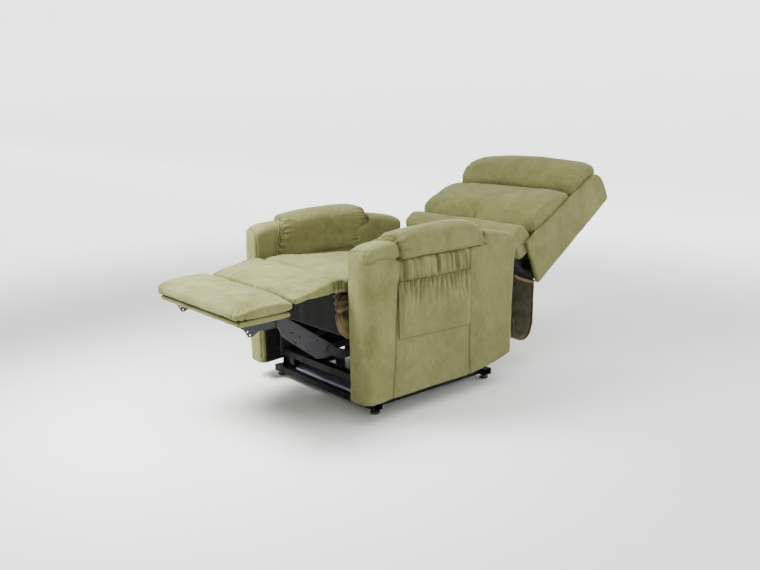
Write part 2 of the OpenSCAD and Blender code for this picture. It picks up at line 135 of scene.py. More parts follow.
def vertices(obj, what="co"):
    values = np.empty(len(obj.data.vertices) * 3)
    obj.data.vertices.foreach_get(what, values)
    return values.reshape(-1, 3)


def normals(obj):
    return vertices(obj, "normal")


def set_vertices(obj, co):
    obj.data.vertices.foreach_set("co", np.ascontiguousarray(co, float).ravel())
    obj.data.update()


def push(obj, amount):
    """Moves each vertex along its normal by amount, one number a vertex, in metres."""
    set_vertices(obj, vertices(obj) + normals(obj) * np.asarray(amount)[:, None])


def add_object(name, data):
    obj = bpy.data.objects.new(name, data)
    bpy.context.scene.collection.objects.link(obj)
    return obj


def mesh_piece(name, points, faces, material):
    mesh = bpy.data.meshes.new(name)
    mesh.from_pydata([tuple(p) for p in points], [], faces)
    mesh.update()
    obj = add_object(name, mesh)
    obj.data.materials.append(material)
    bm = bmesh.new()
    bm.from_mesh(mesh)
    bmesh.ops.recalc_face_normals(bm, faces=bm.faces)
    bm.to_mesh(mesh)
    bm.free()
    shade_smooth(obj)
    return obj


def shade_smooth(obj):
    obj.data.polygons.foreach_set("use_smooth", [True] * len(obj.data.polygons))
    obj.data.update()


def loft(name, rings, material):
    """Skin through closed rings of points, with a cap on the first and the last ring."""
    rings = np.asarray(rings)
    count, size = rings.shape[:2]
    faces = []
    for i in range(count - 1):
        for j in range(size):
            k = (j + 1) % size
            faces.append((i * size + j, i * size + k, (i + 1) * size + k, (i + 1) * size + j))
    faces.append(tuple(range(size)))
    faces.append(tuple(range((count - 1) * size, count * size)))
    return mesh_piece(name, rings.reshape(-1, 3), faces, material)


def sheet_faces(columns, rows):
    """Quads of a grid of points that is stored row by row."""
    return [(r * columns + c, r * columns + c + 1, (r + 1) * columns + c + 1, (r + 1) * columns + c)
            for r in range(rows - 1) for c in range(columns - 1)]


def thicken(obj, thickness, offset):
    modifier = obj.modifiers.new("thick", "SOLIDIFY")
    modifier.thickness = thickness
    modifier.offset = offset
    return evaluated_copy(obj)


def resample(path, count):
    """The same path with count points, evenly spread over its old ones."""
    path = np.array(path)
    run = np.linspace(0, len(path) - 1, count)
    return np.stack([np.interp(run, np.arange(len(path)), path[:, k]) for k in range(3)], 1)


def evaluated_copy(obj):
    """Replaces obj's mesh with what its modifiers make, and drops them."""
    graph = bpy.context.evaluated_depsgraph_get()
    mesh = bpy.data.meshes.new_from_object(obj.evaluated_get(graph))
    old = obj.data
    obj.modifiers.clear()
    obj.data = mesh
    bpy.data.meshes.remove(old)
    return obj


def remesh(obj, size=VOXEL):
    modifier = obj.modifiers.new("voxels", "REMESH")
    modifier.mode = "VOXEL"
    modifier.voxel_size = size
    evaluated_copy(obj)
    shade_smooth(obj)
    return obj


def relax(obj, rounds=4, strength=0.5):
    """Laplacian smoothing, which also softens edges."""
    edges = np.empty(len(obj.data.edges) * 2, int)
    obj.data.edges.foreach_get("vertices", edges)
    a, b = edges.reshape(-1, 2).T
    co = vertices(obj)
    degree = np.bincount(a, minlength=len(co)) + np.bincount(b, minlength=len(co))
    for _ in range(rounds):
        total = np.zeros_like(co)
        for axis in range(3):
            total[:, axis] = np.bincount(a, co[b, axis], len(co)) + np.bincount(b, co[a, axis], len(co))
        co = co + strength * (total / degree[:, None] - co)
    set_vertices(obj, co)
    return obj


def inflate(obj, cap, hold=None):
    """Cloth simulation of the filled cover: pressure swells it, no vertex moves further than cap.
    hold gives the share of its move that each starting point makes, for edges that are sewn square."""
    start = vertices(obj)
    cloth = obj.modifiers.new("cloth", "CLOTH")
    settings = cloth.settings
    settings.quality = 5
    settings.mass = 0.4
    settings.use_pressure = True
    settings.uniform_pressure_force = PRESSURE
    settings.tension_stiffness = settings.compression_stiffness = STIFFNESS
    settings.shear_stiffness = STIFFNESS / 2
    settings.bending_stiffness = 0.4
    settings.shrink_min = -0.05
    settings.effector_weights.gravity = 0
    cloth.collision_settings.use_collision = False
    scene = bpy.context.scene
    for number in range(1, SWELL_FRAMES + 1):
        scene.frame_set(number)
    evaluated_copy(obj)
    scene.frame_set(1)
    move = vertices(obj) - start
    length = np.linalg.norm(move, axis=1, keepdims=True)
    soft = cap * np.tanh(length / cap) / np.maximum(length, 1e-9)
    if hold is not None:
        soft = soft * hold(start)[:, None]
    set_vertices(obj, start + move * soft)
    shade_smooth(obj)
    return obj


def subdivide(obj):
    modifier = obj.modifiers.new("finer", "SUBSURF")
    modifier.levels = modifier.render_levels = 1
    evaluated_copy(obj)
    shade_smooth(obj)


def smooth_ring(points, step=0.008, rounds=2):
    """Corner-cut closed outline, resampled to an even step."""
    p = np.asarray(points, float)
    for _ in range(rounds):
        q = np.roll(p, -1, 0)
        p = np.stack([0.8 * p + 0.2 * q, 0.2 * p + 0.8 * q], 1).reshape(-1, p.shape[1])
    ring = np.vstack([p, p[:1]])
    run = np.concatenate([[0], np.cumsum(np.linalg.norm(np.diff(ring, axis=0), axis=1))])
    even = np.linspace(0, run[-1], max(12, int(run[-1] / step)), endpoint=False)
    return np.stack([np.interp(even, run, ring[:, k]) for k in range(p.shape[1])], 1)


def ring_normals(ring):
    """Outward unit normals of a closed [a, b] outline, either way round."""
    tangent = np.roll(ring, -1, 0) - np.roll(ring, 1, 0)
    normal = np.stack([tangent[:, 1], -tangent[:, 0]], 1)
    normal /= np.linalg.norm(normal, axis=1, keepdims=True)
    a, b = ring.T
    area = np.sum(a * np.roll(b, -1) - b * np.roll(a, -1))
    return normal if area > 0 else -normal


def rounded_slab(name, points, x0, x1, radius, material, voxel=VOXEL, soften=5, rounds=2, cut=None):
    """Upholstered slab: a side outline between x0 and x1, its edges rounded by radius(normals, side) metres.
    cut gives the height of a straight hem for each y."""
    ring = smooth_ring(points, rounds=rounds)
    outward = ring_normals(ring)
    rings = []
    turns = np.linspace(0, math.pi / 2, 6)
    for side, x in ((1, x0), (-1, x1)):
        half = []
        r = radius(outward, side)
        for turn in turns:
            inset = r * (1 - math.sin(turn))
            flat = ring - outward * inset[:, None]
            half.append(np.column_stack([x + side * r * (1 - math.cos(turn)), flat]))
        rings += half if side == 1 else half[::-1]
    if cut is not None:
        rings = [np.column_stack([r[:, :2], np.maximum(r[:, 2], cut(r[:, 1]))]) for r in rings]
    obj = loft(name, rings, material)
    remesh(obj, voxel)
    return relax(obj, soften)


def pillow(name, points, half, material, end):
    """Closed cushion: a side outline carried across from -half to half, drawn in over end at both ends."""
    ring = smooth_ring(points, rounds=3)
    centre = ring.mean(0)
    reach = np.linalg.norm(ring - centre, axis=1).mean()
    turns = np.linspace(0, math.pi / 2, 7)
    drawn = end * (1 - np.cos(turns))
    xs = np.concatenate([-half + drawn, np.linspace(-half + end, half - end, 24)[1:-1], half - drawn[::-1]])
    depth = np.minimum(half - np.abs(xs), end)
    inset = end - np.sqrt(np.maximum(end**2 - (end - depth) ** 2, 0))
    rings = [np.column_stack([np.full(len(ring), x), centre + (ring - centre) * (1 - i / reach * 0.9)])
             for x, i in zip(xs, inset)]
    obj = loft(name, rings, material)
    remesh(obj)
    return relax(obj, 3)


def set_in_back(obj):
    """Turns a piece made along the back's board into its reclined place."""
    obj.data.transform(BACK)
    obj.data.update()
    return obj


def mirrored(obj, name):
    """The same piece on the sitter's other side."""
    twin = add_object(name, obj.data.copy())
    twin.data.transform(Matrix.Scale(-1, 4, (1, 0, 0)))
    twin.data.flip_normals()
    return twin


def tube(name, path, radius, material, sides):
    """Round cord of fabric along a list of points."""
    p = np.asarray(path, float)
    tangent = np.gradient(p, axis=0)
    tangent /= np.linalg.norm(tangent, axis=1, keepdims=True)
    side = np.cross(tangent, [0.31, 0.17, 0.94])
    side /= np.linalg.norm(side, axis=1, keepdims=True)
    up = np.cross(tangent, side)
    turns = np.linspace(0, 2 * math.pi, sides, endpoint=False)
    rings = [c + radius * (np.outer(np.cos(turns), s) + np.outer(np.sin(turns), u))
             for c, s, u in zip(p, side, up)]
    return loft(name, rings, material)


def join(name, objs):
    """One piece from several meshes of one material."""
    bm = bmesh.new()
    for o in objs:
        bm.from_mesh(o.data)
    mesh = bpy.data.meshes.new(name)
    bm.to_mesh(mesh)
    bm.free()
    mesh.materials.append(objs[0].data.materials[0])
    obj = add_object(name, mesh)
    for o in objs:
        bpy.data.objects.remove(o)
    shade_smooth(obj)
    return obj


# ------------ materials
class Nodes:
    """Short way to build a material's node tree."""

    def __init__(self, name):
        self.material = bpy.data.materials.new(name)
        self.material.use_nodes = True
        self.tree = self.material.node_tree
        self.shader = self.tree.nodes["Principled BSDF"]
        self.place = self.add("ShaderNodeTexCoord").outputs["Object"]

    def add(self, kind, links=(), **values):
        node = self.tree.nodes.new(kind)
        for key, value in values.items():
            if hasattr(node, key):
                setattr(node, key, value)
            else:
                node.inputs[key.replace("_", " ")].default_value = value
        for socket, source in dict(links).items():
            self.tree.links.new(source, node.inputs[socket])
        return node

    def noise(self, scale, detail=3.0, roughness=0.55, distortion=0.0, stretch=None):
        vector = self.place
        if stretch:
            vector = self.add("ShaderNodeMapping", {"Vector": vector}, Scale=stretch).outputs[0]
        return self.add("ShaderNodeTexNoise", {"Vector": vector}, Scale=scale, Detail=detail,
                        Roughness=roughness, Distortion=distortion).outputs["Fac"]

    def ramp(self, source, stops):
        node = self.add("ShaderNodeValToRGB", {"Fac": source})
        elements = node.color_ramp.elements
        while len(elements) < len(stops):
            elements.new(0.5)
        for element, (position, colour) in zip(elements, stops):
            element.position = position
            element.color = (*colour, 1)
        return node.outputs["Color"]

    def plug(self, value, socket):
        """Sets a socket to a number or a colour, or links another node's output to it."""
        if isinstance(value, (int, float)):
            socket.default_value = value
        elif isinstance(value, tuple):
            socket.default_value = (*value, 1)
        else:
            self.tree.links.new(value, socket)

    def math(self, operation, a, b):
        node = self.add("ShaderNodeMath", operation=operation)
        self.plug(a, node.inputs[0])
        self.plug(b, node.inputs[1])
        return node.outputs[0]

    def mix(self, factor, a, b, blend="MIX"):
        node = self.add("ShaderNodeMix", data_type="RGBA", blend_type=blend)
        for value, number in ((factor, 0), (a, 6), (b, 7)):
            self.plug(value, node.inputs[number])
        return node.outputs[2]

    def bump(self, heights):
        """Stacks (height socket, distance in metres, strength) bumps onto the shader."""
        normal = None
        for height, distance, strength in heights:
            node = self.add("ShaderNodeBump", {"Height": height}, Distance=distance, Strength=strength)
            if normal is not None:
                self.tree.links.new(normal, node.inputs["Normal"])
            normal = node.outputs[0]
        self.tree.links.new(normal, self.shader.inputs["Normal"])

    def colour(self, socket):
        self.tree.links.new(socket, self.shader.inputs["Base Color"])

    def rough(self, socket):
        self.tree.links.new(socket, self.shader.inputs["Roughness"])

    def set(self, **values):
        for key, value in values.items():
            self.shader.inputs[key.replace("_", " ")].default_value = value


def srgb(r, g, b):
    """Linear colour of an 8-bit screen colour."""
    return tuple(((c / 255 + 0.055) / 1.055) ** 2.4 for c in (r, g, b))


def suede(name, light, dark, seed=0.0):
    """Brushed microsuede: smudged nap, fine fibre speckle, soft sheen, and painted shade from the crease map."""
    n = Nodes(name)
    smudge = n.noise(7 + seed, 4, 0.6, 0.6)
    nap = n.noise(38 + seed, 5, 0.65, 1.2, stretch=(1, 1, 0.55))
    fibre = n.noise(1400, 2, 0.7)
    pile = n.noise(420, 3, 0.7)
    mixed = n.math("ADD", n.math("MULTIPLY", smudge, 0.55), n.math("MULTIPLY", nap, 0.45))
    base = n.ramp(mixed, [(0.28, dark), (0.72, light)])
    speck = n.ramp(fibre, [(0.3, (0.80, 0.80, 0.80)), (0.7, (1.12, 1.12, 1.12))])
    # Painted shade: the crease map blends the colour towards a near-black copy of the dark tone.
    crease = n.add("ShaderNodeAttribute", attribute_name="crease").outputs["Fac"]
    worn = n.mix(0.7, base, speck, "MULTIPLY")
    n.colour(n.mix(crease, worn, tuple(c * 0.22 for c in dark)))
    n.rough(n.ramp(nap, [(0.35, (0.82,) * 3), (0.65, (0.96,) * 3)]))
    n.set(Sheen_Weight=0.18, Sheen_Roughness=0.4, Sheen_Tint=(0.80, 0.84, 0.62, 1), Specular_IOR_Level=0.12)
    n.bump([(n.noise(24, 3, 0.5, 0.4), 0.0035, 0.35), (pile, 0.0006, 0.5), (fibre, 0.0003, 0.4)])
    return n.material


def woven(name, colour, thread=0.0009):
    """Plain woven lining or dust cloth: crossed threads and slubs."""
    n = Nodes(name)
    waves = []
    for direction in ("X", "Z"):
        waves.append(n.add("ShaderNodeTexWave", {"Vector": n.place}, bands_direction=direction,
                           Scale=1 / (thread * 20), Distortion=1.5).outputs["Fac"])
    weave = n.math("MULTIPLY", waves[0], waves[1])
    cloud = n.noise(30, 4, 0.6)
    low = tuple(c * 0.6 for c in colour)
    high = tuple(min(1.0, c * 1.5) for c in colour)
    mixed = n.math("ADD", n.math("MULTIPLY", cloud, 0.7), n.math("MULTIPLY", weave, 0.3))
    n.colour(n.ramp(mixed, [(0.25, low), (0.75, high)]))
    n.set(Roughness=0.95, Sheen_Weight=0.1, Specular_IOR_Level=0.2)
    n.bump([(weave, 0.0004, 0.6), (n.noise(18, 3), 0.004, 0.3)])
    return n.material


def painted_steel(name, colour, rough, shine=0.25):
    """Satin painted steel: orange peel, dust and rubbed edges."""
    n = Nodes(name)
    peel = n.noise(260, 2, 0.5)
    dust = n.noise(12, 5, 0.65, 0.8)
    rub = n.noise(60, 6, 0.75, 1.5)
    edge = n.add("ShaderNodeNewGeometry").outputs["Pointiness"]
    bare = n.math("MULTIPLY", n.math("GREATER_THAN", edge, 0.62), n.math("GREATER_THAN", rub, 0.6))
    dusty = tuple(c * 1.25 + 0.004 for c in colour)
    base = n.ramp(dust, [(0.35, colour), (0.75, dusty)])
    n.colour(n.mix(n.math("MULTIPLY", bare, 0.3), base, (0.20, 0.20, 0.20)))
    n.rough(n.ramp(dust, [(0.3, (rough,) * 3), (0.8, (min(1, rough + 0.22),) * 3)]))
    n.set(Metallic=0.0, Specular_IOR_Level=shine)
    n.bump([(peel, 0.0003, 0.25)])
    return n.material


def bright_metal(name, colour, rough=0.3):
    """Plated steel: streaked and slightly cloudy."""
    n = Nodes(name)
    streak = n.noise(120, 4, 0.6, 0, stretch=(8, 1, 1))
    cloud = n.noise(25, 4, 0.6)
    n.colour(n.ramp(cloud, [(0.3, tuple(c * 0.8 for c in colour)), (0.7, colour)]))
    n.rough(n.ramp(streak, [(0.3, (rough,) * 3), (0.7, (rough + 0.2,) * 3)]))
    n.set(Metallic=1.0)
    n.bump([(streak, 0.0002, 0.2)])
    return n.material


def moulded_plastic(name, colour, rough=0.5):
    """Moulded plastic with a fine spark grain."""
    n = Nodes(name)
    grain = n.noise(900, 2, 0.6)
    cloud = n.noise(20, 4, 0.6)
    n.colour(n.ramp(cloud, [(0.3, colour), (0.8, tuple(c * 1.4 + 0.004 for c in colour))]))
    n.rough(n.ramp(cloud, [(0.3, (rough,) * 3), (0.8, (rough + 0.15,) * 3)]))
    n.set(Specular_IOR_Level=0.45)
    n.bump([(grain, 0.0003, 0.5)])
    return n.material


def grainy(name, noise, low, high, bump, **settings):
    """Raw stock with one grain: its noise settings, its two colours, and its bump's depth and strength."""
    n = Nodes(name)
    grain = n.noise(*noise)
    n.colour(n.ramp(grain, [(0.3, low), (0.7, high)]))
    n.set(**settings)
    n.bump([(grain, *bump)])
    return n.material


OLIVE = suede("olive_suede", srgb(124, 126, 82), srgb(94, 91, 55))
BROWN_HEM = suede("brown_hem", srgb(96, 82, 54), srgb(62, 51, 34), 5.0)
# Darker, browner copy of the olive suede, painting the olive cover as it looks in shade under the seat and at the
# back's lower edge.
SHADED_OLIVE = suede("slack_brown_suede", srgb(112, 98, 68), srgb(76, 62, 44), 4.0)
LINING = woven("grey_green_lining", srgb(104, 101, 84))
BLACK_CLOTH = woven("black_dust_cloth", srgb(17, 16, 17), 0.0012)
STEEL = painted_steel("mechanism_steel", srgb(44, 42, 46), 0.5)
BLACK_STEEL = painted_steel("black_steel", srgb(14, 12, 13), 0.5, 0.12)
# Grey painted plate, its colour lightened and blued to paint the reflection the plate shows.
GREY_PAINT_AND_REFLECTION = painted_steel("grey_plate", srgb(132, 134, 156), 0.4)
ZINC = bright_metal("zinc_steel", (0.62, 0.63, 0.65))
PLASTIC = moulded_plastic("black_plastic", srgb(30, 29, 32))
WOOD = grainy("frame_wood", (30, 6, 0.7, 1.5, (1, 0.15, 1)), (0.42, 0.27, 0.13), (0.70, 0.52, 0.31),
              (0.0006, 0.4), Roughness=0.75)
FELT_COLOUR = srgb(196, 176, 150)
FELT = grainy("felt_pad", (700, 4, 0.8), tuple(c * 0.7 for c in FELT_COLOUR), FELT_COLOUR,
              (0.0008, 0.8), Roughness=1.0, Sheen_Weight=0.3)

SLOT_MATERIALS = {
    "olive_fabric": OLIVE, "lining_fabric": LINING, "black_cloth": BLACK_CLOTH,
    "mechanism_steel": STEEL, "black_steel": BLACK_STEEL, "zinc_steel": ZINC,
    "black_plastic": PLASTIC, "frame_wood": WOOD, "felt": FELT,
}

NODE_MATERIALS = {"base_tie_plate": GREY_PAINT_AND_REFLECTION, "back_board": BLACK_CLOTH}


def finish_cad_nodes():
    """Gives every carried-over CAD node its procedural material."""
    slots = {p["node"]: p["material_slot"] for p in frame["record"]["subparts"]}
    for name, obj in frame["nodes"].items():
        material = NODE_MATERIALS.get(name) or SLOT_MATERIALS[slots[name]]
        obj.data.materials.clear()
        obj.data.materials.append(material)


def fabric_piece(obj, body, nodes=()):
    """Attaches a finished soft piece to its body and hides the CAD solids it stands for."""
    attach(obj, body)
    if nodes:
        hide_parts(*nodes)
    return obj


# ------------ camera, light, floor
CAMERA_PLACE = (2.543, FRONT - 1.727, 1.140)
CAMERA_TURN = (50.07, 12.71, -1.054)      # azimuth, pitch and roll in degrees
CAMERA_LENS = 39.36


def make_camera():
    """The reference view: from the sitter's left front, a little above the seat."""
    azimuth, pitch, roll = (math.radians(a) for a in CAMERA_TURN)
    level = math.cos(pitch)
    back = Vector((math.sin(azimuth) * level, -math.cos(azimuth) * level, math.sin(pitch)))
    right = (-back).cross(Vector((0, 0, 1))).normalized()
    up = right.cross(-back)
    tilt_right = math.cos(roll) * right + math.sin(roll) * up
    tilt_up = -math.sin(roll) * right + math.cos(roll) * up
    data = bpy.data.cameras.new("camera")
    data.sensor_width = 36
    data.lens = CAMERA_LENS
    camera = add_object("camera", data)
    turn = Matrix((tilt_right, tilt_up, back)).transposed().to_4x4()
    camera.matrix_world = Matrix.Translation(CAMERA_PLACE) @ turn
    bpy.context.scene.camera = camera


def area_light(name, place, target, size, power, colour=(1, 1, 1), spread=180):
    data = bpy.data.lights.new(name, "AREA")
    data.shape = "DISK"
    data.size = size
    data.energy = power
    data.color = colour
    data.spread = math.radians(spread)
    light = add_object(name, data)
    light.location = place
    light.rotation_mode = "QUATERNION"
    light.rotation_quaternion = (Vector(target) - Vector(place)).to_track_quat("-Z", "Y")


def sweep_paper():
    """Pale studio paper: a floor that turns up into a wall, and glows more further from the chair."""
    n = Nodes("floor_paint")
    cloud = n.noise(0.8, 2)
    n.colour(n.ramp(cloud, [(0.3, (0.90, 0.90, 0.90)), (0.7, (0.94, 0.94, 0.94))]))
    n.set(Roughness=0.9, Emission_Color=(1, 1, 1, 1))
    away = n.add("ShaderNodeVectorMath", {"Vector": n.place}, operation="LENGTH").outputs["Value"]
    glow = n.add("ShaderNodeMapRange", {"Value": away}, interpolation_type="SMOOTHSTEP",
                 From_Min=1.6, From_Max=4.5, To_Min=0.0, To_Max=1.8)
    n.tree.links.new(glow.outputs["Result"], n.shader.inputs["Emission Strength"])
    bend = [(4.5 + 1.5 * math.sin(t), 1.5 - 1.5 * math.cos(t)) for t in np.linspace(0.1, math.pi / 2, 12)]
    profile = [(-30, 0), (4.5, 0)] + bend + [(6.0, 14)]
    points = [(x, y, z) for y, z in profile for x in (-60, 60)]
    faces = [(2 * i, 2 * i + 1, 2 * i + 3, 2 * i + 2) for i in range(len(profile) - 1)]
    mesh_piece("studio_paper", points, faces, n.material)


def make_studio():
    world = bpy.data.worlds.new("studio")
    world.use_nodes = True
    sky = world.node_tree.nodes["Background"]
    sky.inputs["Color"].default_value = (1, 1, 1, 1)
    sky.inputs["Strength"].default_value = 0.42
    bpy.context.scene.world = world
    area_light("key", (-0.6, -1.45, 1.9), (0, -0.85, 0.45), 1.1, 54, (0.95, 1.0, 0.93), 105)
    area_light("top", (1.0, 0.0, 3.0), (0, 0.0, 0.5), 2.2, 46)
    sweep_paper()


# ------------ sewing
def near_line(points, line):
    """Distance of 2-D points from a polyline, and how far along it the nearest spot is, in metres."""
    best = np.full(len(points), 1e9)
    along = np.zeros(len(points))
    run = 0.0
    for a, b in zip(line[:-1], line[1:]):
        d = b - a
        length = np.linalg.norm(d)
        t = np.clip(((points - a) @ d) / length**2, 0, 1)
        gap = np.linalg.norm(points - (a + t[:, None] * d), axis=1)
        nearer = gap < best
        best = np.where(nearer, gap, best)
        along = np.where(nearer, run + t * length, along)
        run += length
    return best, along


def paint_shade(obj, amount):
    """Adds to the piece's crease map, which paints shade into the fabric: darker in seams, folds and gathers,
    where shade falls.
    """
    count = len(obj.data.vertices)
    attribute = obj.data.attributes.get("crease") or obj.data.attributes.new("crease", "FLOAT", "POINT")
    old = np.zeros(count, np.float32)
    attribute.data.foreach_get("value", old)
    attribute.data.foreach_set("value", np.clip(old + amount, 0, 1).astype(np.float32))


def sew(obj, line, axes, facing, depth, width, pucker, pitch, reach, dark, seed):
    """Sinks a seam along a line drawn in two axes, on the side that faces a direction. Pleats run into it."""
    co, no = vertices(obj), normals(obj)
    gap, along = near_line(co[:, axes], np.asarray(line, float))
    facing = np.array(facing, float) / np.linalg.norm(facing)
    mask = ramp(no @ facing, 0.15, 0.45)
    pleat = noise_over(along / pitch, gap / 0.07, seed + 0.5)
    groove = bell(gap, width)
    push(obj, mask * (pucker * pleat * bell(gap, reach) * (1 - groove) - depth * groove))
    # Painted shade: a thin dark line along the seam.
    paint_shade(obj, dark * mask * bell(gap, 0.0032))


def rumple(obj, fine, broad, crease, seed, stretch=(1, 1, 1), mask=1.0):
    """Soft unevenness of stuffed fabric: broad swells, small ripples, and creases where noise folds over."""
    co = vertices(obj)
    amount = broad * layered_noise(co, 0.16, 2, seed, stretch)
    amount += fine * layered_noise(co, 0.045, 3, seed + 7, stretch)
    if crease:
        fold = 1 - np.clip(np.abs(layered_noise(co, 0.11, 2, seed + 13, stretch)) * 4.5, 0, 1)
        amount = amount - crease * fold**2
        # Painted shade in the creases.
        paint_shade(obj, 0.10 * fold**3 * mask)
    push(obj, amount * mask)


def crinkle(obj, along, pitch, length, height, dark, mask=1.0, seed=0):
    """Long shallow wrinkles in the cover that run one way across it."""
    co = vertices(obj)
    along = np.asarray(along, float) / np.linalg.norm(along)
    across = np.cross(along, (0, 0, 1))
    bend = 0.014 * gradient_noise(co / 0.13, seed)
    waves = noise_over((co @ across + bend) / pitch, co @ along / length, seed + 0.5)
    groove = 1 - np.clip(np.abs(waves) * 4, 0, 1)
    push(obj, height * (0.5 * waves - groove) * mask)
    # Painted shade in the grooves of the wrinkles.
    paint_shade(obj, dark * groove**2 * mask)


def crown(obj, fall, reach, low, high, right, mask=1.0):
    """Lets the top of a pad sink towards its left side, and by the share right towards its right side."""
    co = vertices(obj)
    share = np.where(co[:, 0] > 0, 1.0, right) * mask
    co[:, 2] -= fall * share * bell(SEAT_HALF - np.abs(co[:, 0]), reach) * ramp(co[:, 2], low, high)
    set_vertices(obj, co)


def inside(obj, reach):
    """1 well inside a piece's plan and 0 at its rim."""
    return square_ends((0, 1), reach, 0.0)(vertices(obj))


def plump(obj, cap, hold=None):
    """Swells a cushion by cloth simulation, fits it back into its first box and subdivides it."""
    before = vertices(obj)
    lo, hi = before.min(0), before.max(0)
    inflate(obj, cap, hold)
    co = vertices(obj)
    a, b = co.min(0), co.max(0)
    set_vertices(obj, lo + (co - a) / (b - a) * (hi - lo))
    subdivide(obj)


def square_ends(axes, reach, least, rests_at=None):
    """Hold rule that keeps a cushion square near the ends of the axes, and flat where it rests."""
    def rule(co):
        lo, hi = co.min(0), co.max(0)
        near = np.min([np.minimum(co[:, a] - lo[a], hi[a] - co[:, a]) for a in axes], axis=0)
        share = least + (1 - least) * ramp(near, 0, reach)
        return share if rests_at is None else share * ramp(co[:, 2], rests_at, rests_at + 0.02)
    return rule


def even(inner, outer=None):
    """Radius rule with one radius each side."""
    def rule(outward, side):
        return np.full(len(outward), inner if side > 0 or outer is None else outer)
    return rule


# ------------ arms
ARM_OUTLINE = outline([
    (1, 30), (120, 30), (510, 30), (665, 50), (752, 70), (757, 150), (760, 228), (765, 379),
    (774, 526), (786, 560), (784, 585), (773, 602), (742, 616), (706, 624), (596, 640), (584, 600),
    (168, 598), (152, 652), (118, 650), (62, 647), (31, 639), (10, 626), (2, 606), (1, 580), (1, 110),
])
HEM = np.array([    # y from the arm's front, and height of the arm's lower edge there
    (0, 76), (20, 73), (120, 78), (510, 79), (575, 85), (665, 99), (752, 119), (800, 130)]) * MM
FRONT_SEAM = outline([(168, 577), (156, 473), (144, 373), (136, 245), (127, 142), (118, 77)])
REAR_SEAM = outline([(518, 600), (515, 430), (513, 78)])
CAP_CREASE = outline([(18, 586), (60, 598), (105, 596), (128, 590), (165, 586)])
POCKET_TOP = 0.503
PAD_SEAM = 0.587
UNDER_PAD = outline([(160, 588), (350, 588), (602, 588)])


def arm_radius(outward, side):
    front = ramp(-outward[:, 0], 0.2, 0.9) * (0.018 if side > 0 else 0.046)
    top = ramp(outward[:, 1], 0.3, 0.9) * 0.032
    rear = ramp(outward[:, 0], 0.3, 0.9) * 0.016
    return np.maximum.reduce([front, top, rear, np.full(len(outward), 0.006)])


def make_arm():
    """Left arm's cover: a bullnose front post, a sewn side with folds over the pocket, and a sloped rear."""
    arm = rounded_slab("arm_cover_left", ARM_OUTLINE, ARM_IN, ARM_OUT, arm_radius, OLIVE, 0.0055, 3,
                       cut=lambda y: np.interp(y - FRONT, *HEM.T))
    subdivide(arm)
    co, no = vertices(arm), normals(arm)
    y, z = co[:, 1] - FRONT, co[:, 2]
    outer = ramp(no[:, 0], 0.3, 0.8)
    front_gap, _ = near_line(co[:, 1:], FRONT_SEAM)
    rear_gap, _ = near_line(co[:, 1:], REAR_SEAM)
    puff = 0.004 * (ramp(front_gap, 0, 0.05) * ramp(rear_gap, 0, 0.05) - 0.6)
    amount = outer * puff * ramp(z, 0.08, 0.14)
    panel = ramp(y, 0.165, 0.185) * ramp(-y, -0.512, -0.498) * outer
    strip = panel * ramp(z, POCKET_TOP - 0.005, POCKET_TOP + 0.02)
    strip = strip * ramp(-z, -PAD_SEAM - 0.01, -PAD_SEAM + 0.006)
    fold = np.clip(noise_over((y + 0.12 * (z - POCKET_TOP)) / 0.0145, z / 0.16, 3.3) * 2.0, -1, 1)
    amount += strip * 0.006 * fold
    push(arm, amount)
    # Painted shade in the hollows of the folds above the pocket.
    paint_shade(arm, 0.45 * strip * np.clip(-fold, 0, 1))
    rumple(arm, 0.0005, 0.0012, 0, 11)
    sew(arm, FRONT_SEAM, [1, 2], (1, 0, 0), 0.0045, 0.005, 0.0009, 0.02, 0.02, 0.5, 1)
    sew(arm, REAR_SEAM, [1, 2], (1, 0, 0), 0.0045, 0.005, 0.0008, 0.03, 0.02, 0.45, 2)
    sew(arm, CAP_CREASE, [1, 2], (1, 0, 0.2), 0.006, 0.008, 0.001, 0.02, 0.03, 0.35, 3)
    # Seam under the pad, with a heavy line of painted shadow where the pad overhangs the arm.
    sew(arm, UNDER_PAD, [1, 2], (1, 0, 0), 0.007, 0.009, 0.001, 0.02, 0.03, 0.75, 5)
    corner = [(ARM_IN + 0.006, 0.10), (ARM_IN + 0.006, 0.585), (ARM_IN + 0.012, 0.610),
              (ARM_IN + 0.028, 0.624), (ARM_IN + 0.060, 0.6275), (ARM_OUT - 0.012, 0.6275)]
    sew(arm, corner, [0, 2], (-0.25, -1, 0.1), 0.0035, 0.004, 0.0006, 0.02, 0.02, 0.4, 4)
    for x in (ARM_IN + 0.062, ARM_IN + 0.088):
        co, no = vertices(arm), normals(arm)
        place = np.exp(-(((co[:, 0] - x) / 0.007) ** 2) - ((co[:, 2] - 0.617) / 0.009) ** 2)
        pleat = np.cos((co[:, 0] - x) / 0.0042 * math.pi)
        place *= ramp(-no[:, 1], 0.2, 0.6)
        push(arm, 0.0025 * place * pleat)
        # Painted shade in the hollows of the front pleats.
        paint_shade(arm, 0.35 * place * np.clip(-pleat, 0, 1))
    return arm


PAD_TOP = [(142, 668), (160, 677), (200, 683), (260, 687), (350, 690), (430, 691), (500, 689), (550, 682),
           (582, 668), (600, 652)]
